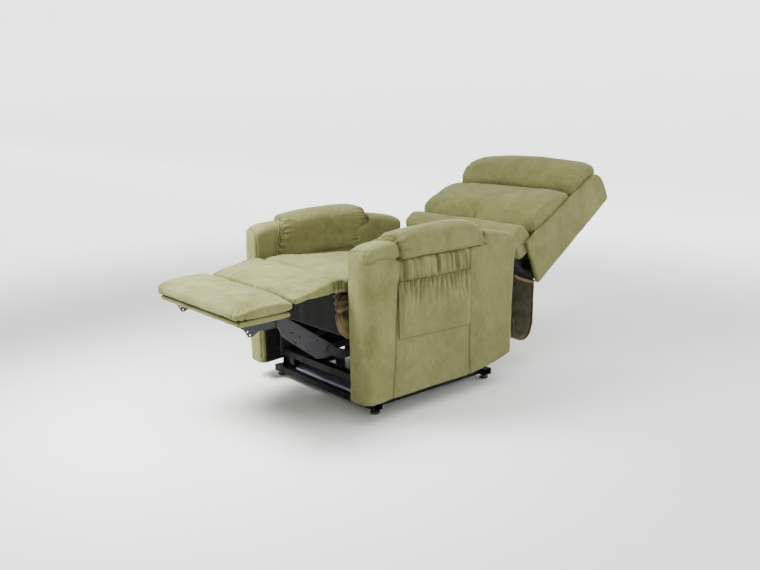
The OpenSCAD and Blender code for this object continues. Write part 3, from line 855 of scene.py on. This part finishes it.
# Cross-section of an arm pad: x, height from the floor or, at 0 and below, from the pad's top,
# and y of its front and rear ends
PAD_SECTION = [
    (284, 494, 86, 538), (282, 540, 98, 545), (281, 590, 113, 556),
    (282, -60, 128, 566), (286, -34, 136, 574), (297, -13, 141, 582),
    (318, -2, 142, 588), (345, 0, 142, 592), (371, -4, 146, 596),
    (391, -20, 152, 600), (403, -46, 160, 597), (407, -76, 165, 588),
    (405, 596, 168, 574), (400, 587, 168, 566), (380, 588, 166, 568),
    (312, 588, 142, 580), (300, 560, 110, 552), (299, 494, 88, 538),
]


def pad_front(co):
    """The pad's front end, y from the arm's front, at points on its surface."""
    inner = 0.094 + 0.302 * (np.minimum(co[:, 2], 0.686) - 0.527)
    outer = 0.146 + 0.21 * (0.69 - co[:, 2])
    mix = ramp(co[:, 0], 0.300, 0.385)
    return inner * (1 - mix) + outer * mix


def pad_rear(co):
    """The pad's rear end in the same way."""
    inner = 0.545 + 0.21 * (np.minimum(co[:, 2], 0.686) - 0.540)
    mix = ramp(co[:, 0], 0.300, 0.385)
    return inner * (1 - mix) + 0.600 * mix


def make_arm_pad():
    """Left arm's pad: a roll over the arm, down its inner side to the seat, gathered at both ends."""
    top_y, top_z = np.array(PAD_TOP).T
    shares = np.concatenate([[0, 0.012, 0.03, 0.055], np.linspace(0.1, 0.9, 14), [0.945, 0.97, 0.988, 1]])
    rings = []
    section = np.array(PAD_SECTION, float)
    for share in shares:
        y_mid = 142 + share * (600 - 142)
        high = np.interp(y_mid, top_y, top_z)
        z = np.where(section[:, 1] > 0, section[:, 1], high + section[:, 1])
        y = section[:, 2] * (1 - share) + section[:, 3] * share
        flat = np.stack([section[:, 0], z], 1)
        end = min(share, 1 - share) * 460
        inset = 11 * (1 - math.sqrt(max(0.0, 1 - max(0.0, 1 - end / 20) ** 2)))
        flat = flat - ring_normals(flat) * inset
        rings.append(np.stack([flat[:, 0], y, flat[:, 1]], 1) * MM + [0, FRONT, 0])
    pad = loft("arm_pad_cover_left", rings, OLIVE)
    remesh(pad, 0.0055)
    relax(pad, 3)
    plump(pad, 0.008, square_ends((1,), 0.03, 0.3))
    co = vertices(pad)
    y = co[:, 1] - FRONT
    turn = np.arctan2(co[:, 2] - 0.60, co[:, 0] - 0.345) * 0.075
    for ends, sign, seed in ((pad_front(co), 1, 5), (pad_rear(co), -1, 9)):
        gap = sign * (y - ends)
        pleat = noise_over(turn / 0.0065, gap / 0.12, seed + 0.2)
        uneven = 0.65 + 0.35 * noise_over(turn / 0.05, np.zeros(len(y)), seed + 4.7)
        strength = bell(np.maximum(gap - 0.004, 0), 0.040) * uneven
        shaped = np.clip(pleat * 1.7, -1, 1)
        push(pad, 0.005 * strength * shaped)
        # Painted shade in the pleat hollows, and a dark band of painted shade at the gathered end.
        paint_shade(pad, 0.34 * strength * np.clip(-shaped, 0, 1))
        paint_shade(pad, 0.45 * bell(gap - 0.002, 0.006))
    rumple(pad, 0.0007, 0.0016, 0.0008, 21, (1, 2.2, 1))
    return pad


def make_arm_piping():
    """Double welt on the inner side, where the front cap meets the pad."""
    cords = []
    for shift in (0.004, 0.0135):
        path = []
        for x, z in ((289.0, 505), (288.6, 540), (288.4, 580), (288.4, 610), (290, 628), (297, 641),
                     (309, 649), (322, 652.5), (338, 653.5), (352, 653)):
            point = np.array([[x, 0, z]]) * MM
            path.append((point[0, 0], FRONT + pad_front(point)[0] - shift + 0.002, point[0, 2]))
        cords.append(tube("welt", resample(path, 70), 0.0023, OLIVE, 8))
    return join("arm_welt_left", cords)


def make_pocket():
    """Left side pocket: a flat patch gathered onto elastic along its open top."""
    y0, y1 = 0.150, 0.514
    columns, rows = 150, 80
    uu, vv = np.meshgrid(np.linspace(0, 1, columns), np.linspace(0, 1, rows))
    bottom = 0.295 - 0.012 * uu
    top = POCKET_TOP + 0.001 * np.sin(uu * 9)
    z = bottom * (1 - vv) + top * vv
    y = y0 + (y1 - y0) * uu
    edge = np.minimum(uu, 1 - uu) * (y1 - y0)
    down = (1 - vv) * 0.21
    spread = uu + 0.010 * np.sin(down * 30)
    tight = np.cos(2 * math.pi * (uu * 17 + 0.55 * noise_over(uu * 9, down / 0.10, 2.4)))
    fan = noise_over((spread - 0.5) / (0.55 + 1.6 * down) * 11, down / 0.22, 8.4)
    fan = np.clip(fan * 2.4, -1, 1)
    short = np.exp(-((down / 0.045) ** 2))
    long = ramp(down, 0.004, 0.05) * ramp(-down, -0.165, -0.06)
    body = ramp(edge, 0, 0.022) * ramp(vv * 0.21, 0, 0.03)
    out = 0.0016 + body * (0.0070 + 0.0046 * tight * short + 0.0070 * fan * long)
    out += 0.0014 * bell(down, 0.004)
    x = ARM_OUT + 0.0015 + np.maximum(out, 0.0008)
    points = np.stack([x, FRONT + y, z], -1).reshape(-1, 3)
    pocket = mesh_piece("pocket_cover_left", points, sheet_faces(columns, rows), OLIVE)
    shade = np.maximum(0.55 * bell(edge, 0.0028), 0.65 * bell(vv * 0.21, 0.0026))
    shade = np.maximum(shade, 0.70 * short * np.clip(-tight, 0, 1) ** 1.5)
    shade = np.maximum(shade, 0.42 * long * np.clip(-fan, 0, 1))
    shade = np.maximum(shade, 0.2 * bell(down - 0.008, 0.0022))
    paint_shade(pocket, shade.ravel())
    return thicken(pocket, 0.0016, -1)


def make_arms():
    made = (make_arm(), make_arm_pad(), make_arm_piping(), make_pocket())
    for side, maker in (("left", lambda o, n: o), ("right", mirrored)):
        parts = [maker(o, o.name.replace("left", side)) for o in made]
        fabric_piece(parts[0], "carriage", [f"arm_{side}"])
        fabric_piece(parts[1], "carriage", [f"arm_pad_{side}"])
        fabric_piece(parts[2], "carriage")
        fabric_piece(parts[3], "carriage", [f"pocket_{side}"])


# ------------ seat and footrest
SEAT_HALF = 0.284
SEAT_OUTLINE = outline([
    (62, 399), (58, 440), (40, 468), (4, 480), (-4, 500), (6, 522), (40, 531), (110, 531), (229, 516),
    (350, 503), (471, 490), (600, 481), (680, 478), (700, 462), (700, 399),
])
CHAISE_OUTLINE = outline([
    (14, 480), (14, 520), (-4, 531), (-30, 533), (-60, 530), (-150, 515), (-200, 503), (-211, 494),
    (-212, 472), (-208, 459), (-150, 467), (-90, 475), (-30, 479),
])


def top_side(top, bottom):
    """Radius rule with a wider radius along the top."""
    def rule(outward, side):
        return np.maximum(bottom, ramp(outward[:, 1], 0.1, 0.8) * top)
    return rule


def make_seat():
    seat = rounded_slab("seat_cushion_cover", SEAT_OUTLINE, -SEAT_HALF, SEAT_HALF, top_side(0.02, 0.008),
                        OLIVE, 0.0065)
    plump(seat, 0.016)
    rumple(seat, 0.0012, 0.0035, 0.0014, 31)
    crinkle(seat, (1, 0.35, 0), 0.040, 0.14, 0.0016, 0.10, ramp(vertices(seat)[:, 2], 0.46, 0.49), 33)
    fabric_piece(seat, "carriage", ["seat_cushion"])


def make_chaise():
    chaise = rounded_slab("chaise_pad_cover", CHAISE_OUTLINE, -SEAT_HALF, SEAT_HALF,
                          top_side(0.010, 0.005), OLIVE, 0.0055, 3)
    plump(chaise, 0.008, square_ends((0, 1), 0.05, 0.1))
    co = vertices(chaise)
    edge = SEAT_HALF - np.abs(co[:, 0])
    y = co[:, 1] - FRONT
    gather = np.clip(noise_over((y + 0.3 * edge) / 0.0065, edge / 0.08, 4.4) * 2, -1, 1)
    strength = bell(edge, 0.026) * ramp(y, -0.125, -0.03)
    push(chaise, 0.004 * strength * gather)
    # Painted shade along the gathered edge by the arm, deepest in the gather hollows.
    paint_shade(chaise, strength * (0.15 + 0.6 * np.clip(-gather, 0, 1)))
    crown(chaise, 0.012, 0.08, 0.480, 0.503, 0.2, ramp(FRONT - vertices(chaise)[:, 1], 0.0, 0.13))
    rumple(chaise, 0.0012, 0.0032, 0.0016, 37)
    crinkle(chaise, (0.7, 1, 0), 0.034, 0.10, 0.0022, 0.14, 1.0, 38)
    fabric_piece(chaise, "carriage", ["chaise_pad"])
    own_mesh(chaise)


PAD_OUTLINE = outline([
    (-217, 445), (-214, 478), (-218, 498), (-262, 507), (-320, 510), (-375, 506), (-418, 496), (-434, 484),
    (-438, 462), (-434, 445),
])
BOARD_OUTLINE = outline([
    (-224, 425), (-223, 436), (-226, 444), (-418, 444), (-428, 440), (-429, 427), (-425, 423),
])


def make_ottoman():
    pad = rounded_slab("ottoman_pad_cover", PAD_OUTLINE, -SEAT_HALF, SEAT_HALF, even(0.009), OLIVE, 0.0055, 3)
    plump(pad, 0.012, square_ends((0, 1), 0.06, 0.05, 0.455))
    crown(pad, 0.016, 0.065, 0.460, 0.495, 0.0)
    rumple(pad, 0.0014, 0.004, 0.0016, 43, (1.7, 0.8, 1), inside(pad, 0.02))
    crinkle(pad, (1, 0.3, 0), 0.040, 0.16, 0.0022, 0.14, inside(pad, 0.015), 44)
    co = vertices(pad)
    for side in (-1, 1):
        corner = np.array([side * SEAT_HALF, FRONT - 0.437])
        gap = np.linalg.norm(co[:, :2] - corner, axis=1)
        turn = np.arctan2(co[:, 1] - corner[1] - 0.05, (co[:, 0] - corner[0] + side * 0.05) * side)
        pleat = np.cos(turn * 14 + side)
        strength = bell(gap, 0.055) * ramp(gap, 0.0, 0.02)
        push(pad, 0.003 * strength * pleat)
        # Painted shade in the hollows of the corner pleats.
        paint_shade(pad, 0.3 * strength * np.clip(-pleat, 0, 1) ** 2)
    fabric_piece(pad, "ottoman", ["ottoman_pad"])
    board = rounded_slab("ottoman_board_cover", BOARD_OUTLINE, -SEAT_HALF + 0.003, SEAT_HALF - 0.003,
                         even(0.005), OLIVE, 0.0045, 2, 1)
    subdivide(board)
    rumple(board, 0.0008, 0.0018, 0.0006, 47)
    fabric_piece(board, "ottoman", ["ottoman_board"])


def make_pouches():
    """Slack fabric gathered under the seat's front corners."""
    rings = []
    for x, line in ((213, [(12, 456), (10, 400), (16, 345), (32, 318), (44, 330), (50, 390), (46, 456)]),
                    (228, [(0, 458), (-4, 395), (6, 325), (28, 300), (50, 310), (60, 380), (54, 456)]),
                    (255, [(-8, 460), (-12, 390), (0, 312), (28, 290), (56, 300), (66, 380), (58, 456)]),
                    (283, [(-8, 460), (-12, 390), (2, 318), (28, 297), (56, 308), (64, 380), (56, 456)])):
        ring = smooth_ring(np.array(line, float), 0.5, 2)
        share = np.linspace(0, 1, 60, endpoint=False)
        run = np.linspace(0, 1, len(ring), endpoint=False)
        even_ring = np.stack([np.interp(share, run, ring[:, k]) for k in range(2)], 1)
        rings.append(np.column_stack([np.full(60, x), even_ring]) * MM + [0, FRONT, 0])
    # Painted shade: the pouches use the darker, browner shaded copy of the olive suede.
    pouch = loft("pouch_left", rings, SHADED_OLIVE)
    remesh(pouch, 0.005)
    relax(pouch, 5)
    subdivide(pouch)
    co = vertices(pouch)
    x, y, z = co[:, 0], co[:, 1] - FRONT, co[:, 2]
    high = ramp(z, 0.385, 0.415)
    crumple = gradient_noise(np.column_stack([(x + 0.7 * z) / 0.045, y / 0.05, (z - 0.5 * x) / 0.018]))
    crumple = np.clip(crumple * 2, -1, 1)
    fan = gradient_noise(np.column_stack([(x - 0.30 + 0.35 * (z - 0.3)) / 0.016, z / 0.11, y / 0.05]))
    fan = np.clip(fan * 1.8, -1, 1)
    push(pouch, 0.009 * high * crumple + 0.003 * (1 - high) * fan - 0.006 * bell(z - 0.392, 0.012))
    # Painted shade: the top under the seat darker all over and in its crumple hollows, the fan folds' hollows, a
    # dark band at the waist and darker towards the seat.
    paint_shade(pouch, high * (0.30 + 0.5 * np.clip(-crumple, 0, 1)) + 0.30 * (1 - high) * np.clip(-fan, 0, 1))
    paint_shade(pouch, 0.5 * bell(z - 0.392, 0.009) + 0.25 * ramp(z, 0.42, 0.455))
    for piece in (pouch, mirrored(pouch, "pouch_right")):
        fabric_piece(piece, "carriage", ["chaise_gusset"])
        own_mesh(piece)


def cloth_grid(name, line, x0, x1, material, columns, rows, shape=None, thick=0.0016):
    """Sheet from x0 to x1 that follows a side-view line, and the line's length; shape moves its points."""
    line = np.asarray(line, float)
    run = np.concatenate([[0], np.cumsum(np.linalg.norm(np.diff(line, axis=0), axis=1))])
    even_run = np.linspace(0, run[-1], rows)
    path = np.stack([np.interp(even_run, run, line[:, k]) for k in range(2)], 1)
    for _ in range(3):
        path[1:-1] = (path[:-2] + path[1:-1] * 2 + path[2:]) / 4
    u, v = np.meshgrid(np.linspace(0, 1, columns), np.linspace(0, 1, rows))
    across = x0 + (x1 - x0) * u
    points = np.stack([across, np.repeat(path[:, :1], columns, 1), np.repeat(path[:, 1:], columns, 1)], -1)
    if shape is not None:
        points = shape(points, u, v)
    sheet = mesh_piece(name, points.reshape(-1, 3), sheet_faces(columns, rows), material)
    return thicken(sheet, thick, 0), run[-1]


def make_apron():
    """Black dust cloth that hangs under the seat's front rail."""
    def folds(points, u, v):
        points[..., 1] += 0.003 * noise_over(u * 7, v * 1.2, 1.5) * ramp(v, 0.2, 0.8)
        return points

    half = 0.228
    line = [at(50, 470), at(50, 398), at(51, 340), at(52, 287)]
    apron, drop = cloth_grid("front_apron_cloth", line, -half, half, BLACK_CLOTH, 80, 24, folds)
    fabric_piece(apron, "carriage", ["front_apron"])


def make_arm_linings():
    """Black cloth over the arms' inner faces, below the seat."""
    front, length, top = 0.022, 0.726, 0.395
    for side, sign in (("left", 1), ("right", -1)):
        def wall(points, u, v):
            y = front + length * u
            low = np.interp(y, *HEM.T) + 0.003
            x = sign * (ARM_IN - 0.0015 - 0.0010 * np.sin(u * 19 + v * 5))
            return np.stack([x, FRONT + y, low + v * (top - low)], -1)

        lining, drop = cloth_grid(f"arm_lining_{side}", [at(0, 80), at(0, 395)], 0, length, BLACK_CLOTH,
                                  60, 30, wall)
        fabric_piece(lining, "carriage")


# ------------ back
LUMBAR = back_outline([
    (46, 8), (40, 14), (38, 60), (40, 112), (52, 140), (88, 150), (132, 148), (158, 124), (165, 80),
    (166, 10), (104, 4),
])
MIDDLE = back_outline([
    (170, 6), (168, 60), (168, 104), (182, 138), (226, 150), (330, 141), (398, 120), (438, 90),
    (452, 50), (452, 6),
])
HEAD = back_outline([
    (456, 6), (450, 50), (452, 100), (466, 140), (500, 160), (560, 164), (612, 150), (644, 118), (656, 80),
    (648, 44), (622, 40), (606, 12),
])
PANEL = back_outline([
    (103, 75), (606, 67), (628, 58), (645, 38), (654, 14), (657, -12), (654, -74), (646, -88),
    (618, -91), (81, -126),
])
REAR_PANEL = back_outline([
    (83, -124), (612, -92), (642, -89), (652, -76), (655, -12), (646, 30), (622, 38), (611, 4),
    (606, -80), (88, -112),
])
BACK_HALF = 0.331


def make_back():
    square = square_ends((0,), 0.06, 0.1)
    head = pillow("back_cushion_head_cover", HEAD, BACK_HALF, OLIVE, 0.020)
    plump(head, 0.020, square)
    co = vertices(head)
    co[:, 2] -= (co[:, 2] - 0.04) * 0.20 * (co[:, 0] / BACK_HALF) ** 2
    set_vertices(head, co)
    rumple(head, 0.0006, 0.0026, 0.0004, 51, (1.8, 1, 1))
    middle = pillow("back_cushion_middle_cover", MIDDLE, BACK_HALF, OLIVE, 0.016)
    plump(middle, 0.018, square)
    rumple(middle, 0.0007, 0.0026, 0.0006, 57, (1.6, 1, 1))
    lumbar = pillow("back_cushion_lumbar_cover", LUMBAR, BACK_HALF, OLIVE, 0.014)
    plump(lumbar, 0.014, square)
    rumple(lumbar, 0.0008, 0.0028, 0.0006, 61, (1.2, 1, 1))

    co = vertices(middle)
    far = ramp(-co[:, 0], -0.18, 0.15) * ramp(co[:, 2], 0.05, 0.11)
    slant = (co[:, 0] * 0.5 + co[:, 1] * 0.9) / 0.028
    wrinkle = noise_over(slant, (co[:, 0] * 0.9 - co[:, 1] * 0.5) / 0.16, 2.2)
    push(middle, 0.0030 * far * wrinkle)
    # Painted shade in the hollows of the slanting wrinkles.
    paint_shade(middle, 0.16 * far * np.clip(-wrinkle * 1.5, 0, 1))
    pleat = np.exp(-((co[:, 0] / 0.004) ** 2)) * bell(co[:, 1] - 0.170, 0.035) * ramp(co[:, 2], 0.04, 0.09)
    push(middle, -0.005 * pleat)
    # Painted shade in the centre pleat.
    paint_shade(middle, 0.7 * pleat)

    co = vertices(head)
    end = bell(BACK_HALF - np.abs(co[:, 0]), 0.05)
    turn = np.arctan2(co[:, 2] - 0.09, co[:, 1] - 0.55)
    wrinkle = noise_over(turn * 3.2, co[:, 0] / 0.07, 7.7)
    push(head, 0.004 * end * wrinkle)
    # Painted shade in the hollows of the wrinkles at the head cushion's ends.
    paint_shade(head, 0.2 * end * np.clip(-wrinkle * 1.5, 0, 1))

    for obj, node, fill in ((head, "back_cushion_head", 0.85), (middle, "back_cushion_middle", 0.75),
                            (lumbar, "back_cushion_lumbar", 0.7)):
        set_in_back(obj)
        fabric_piece(obj, "backrest", [node])
    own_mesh(lumbar)

    panel = rounded_slab("back_side_cover_left", PANEL, PANEL_IN, PANEL_OUT, even(0.003, 0.006), OLIVE,
                         0.0042, 2, 0)
    subdivide(panel)
    rumple(panel, 0.0006, 0.0014, 0, 67)
    twin = mirrored(panel, "back_side_cover_right")
    for side, obj in (("left", panel), ("right", twin)):
        set_in_back(obj)
        fabric_piece(obj, "backrest", [f"back_side_{side}"])
    rear = rounded_slab("back_rear_cover", REAR_PANEL, -PANEL_IN, PANEL_IN, even(0.003), OLIVE, 0.0055, 3)
    subdivide(rear)
    rumple(rear, 0.0006, 0.0022, 0, 71)
    set_in_back(rear)
    fabric_piece(rear, "backrest", ["back_rear_panel", "back_top_rail"])


def make_rear_flap():
    """Lined flap that hangs in a loop behind the seat."""
    loop = [at(y, z) for y, z in ((978, 384), (984, 362), (986, 345), (984, 250), (976, 190), (960, 140),
                                  (946, 126), (926, 121), (898, 127), (872, 146), (858, 176), (854, 230))]

    def slack(points, u, v):
        wave = noise_over(u * 8, v * 3, 6.1)
        low = np.sin(math.pi * v) ** 1.5
        points[..., 1] += 0.010 * wave * low
        points[..., 2] += 0.008 * wave * ramp(v, 0.4, 0.7) * ramp(-v, -1.0, -0.9)
        return points

    half = 0.322
    flap, drop = cloth_grid("rear_flap_cloth", loop, -half, half, LINING, 120, 110, slack, 0.003)
    flap.data.materials.append(BROWN_HEM)
    outer = ramp(normals(flap)[:, 1], -0.1, 0.1)
    for face in flap.data.polygons:
        mean = sum(outer[v] for v in face.vertices) / len(face.vertices)
        edge = min(half - abs(flap.data.vertices[v].co.x) for v in face.vertices) < 0.006
        face.material_index = 1 if mean > 0.5 or edge else 0
    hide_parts("rear_flap")
    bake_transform(flap)


def make_back_tuck():
    """Rolled lower edge of the back's two side panels."""
    tucks = []
    for side in (-1, 1):
        path = [(side * x * MM, *at(y, z)) for x, y, z in
                ((322, 984, 368), (321, 960, 371), (320, 930, 379), (320, 903, 389), (320, 880, 398),
                 (322, 862, 408))]
        # Painted shade: the tuck uses the darker, browner shaded copy of the olive suede.
        tucks.append(tube("tuck", resample(path, 40), 0.006, SHADED_OLIVE, 12))
    fabric_piece(join("back_lower_tuck", tucks), "backrest")


def make_seat_back_cloth():
    """Black cloth from the seat's rear to the back, across the gap that opens as the back comes up."""
    line = [at(694, 466), at(740, 458), at(800, 452), at(850, 452), at(874, 456), at(890, 464)]
    bridge, drop = cloth_grid("seat_back_cloth", line, -SEAT_HALF, SEAT_HALF, BLACK_CLOTH, 60, 50)
    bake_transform(bridge)


def make_back_lining():
    """Black lining that closes the back's underside."""
    line = back_outline([(84, -118), (64, -60), (46, -20), (42, 6), (44, 24)])
    lining, drop = cloth_grid("back_lining_cloth", line, -PANEL_IN + 0.001, PANEL_IN - 0.001, BLACK_CLOTH,
                              60, 30)
    set_in_back(lining)
    fabric_piece(lining, "backrest")


make_camera()
make_studio()
finish_cad_nodes()
make_arms()
make_seat()
make_chaise()
make_ottoman()
make_pouches()
make_apron()
make_arm_linings()
make_back()
make_rear_flap()
make_back_tuck()
make_seat_back_cloth()
make_back_lining()
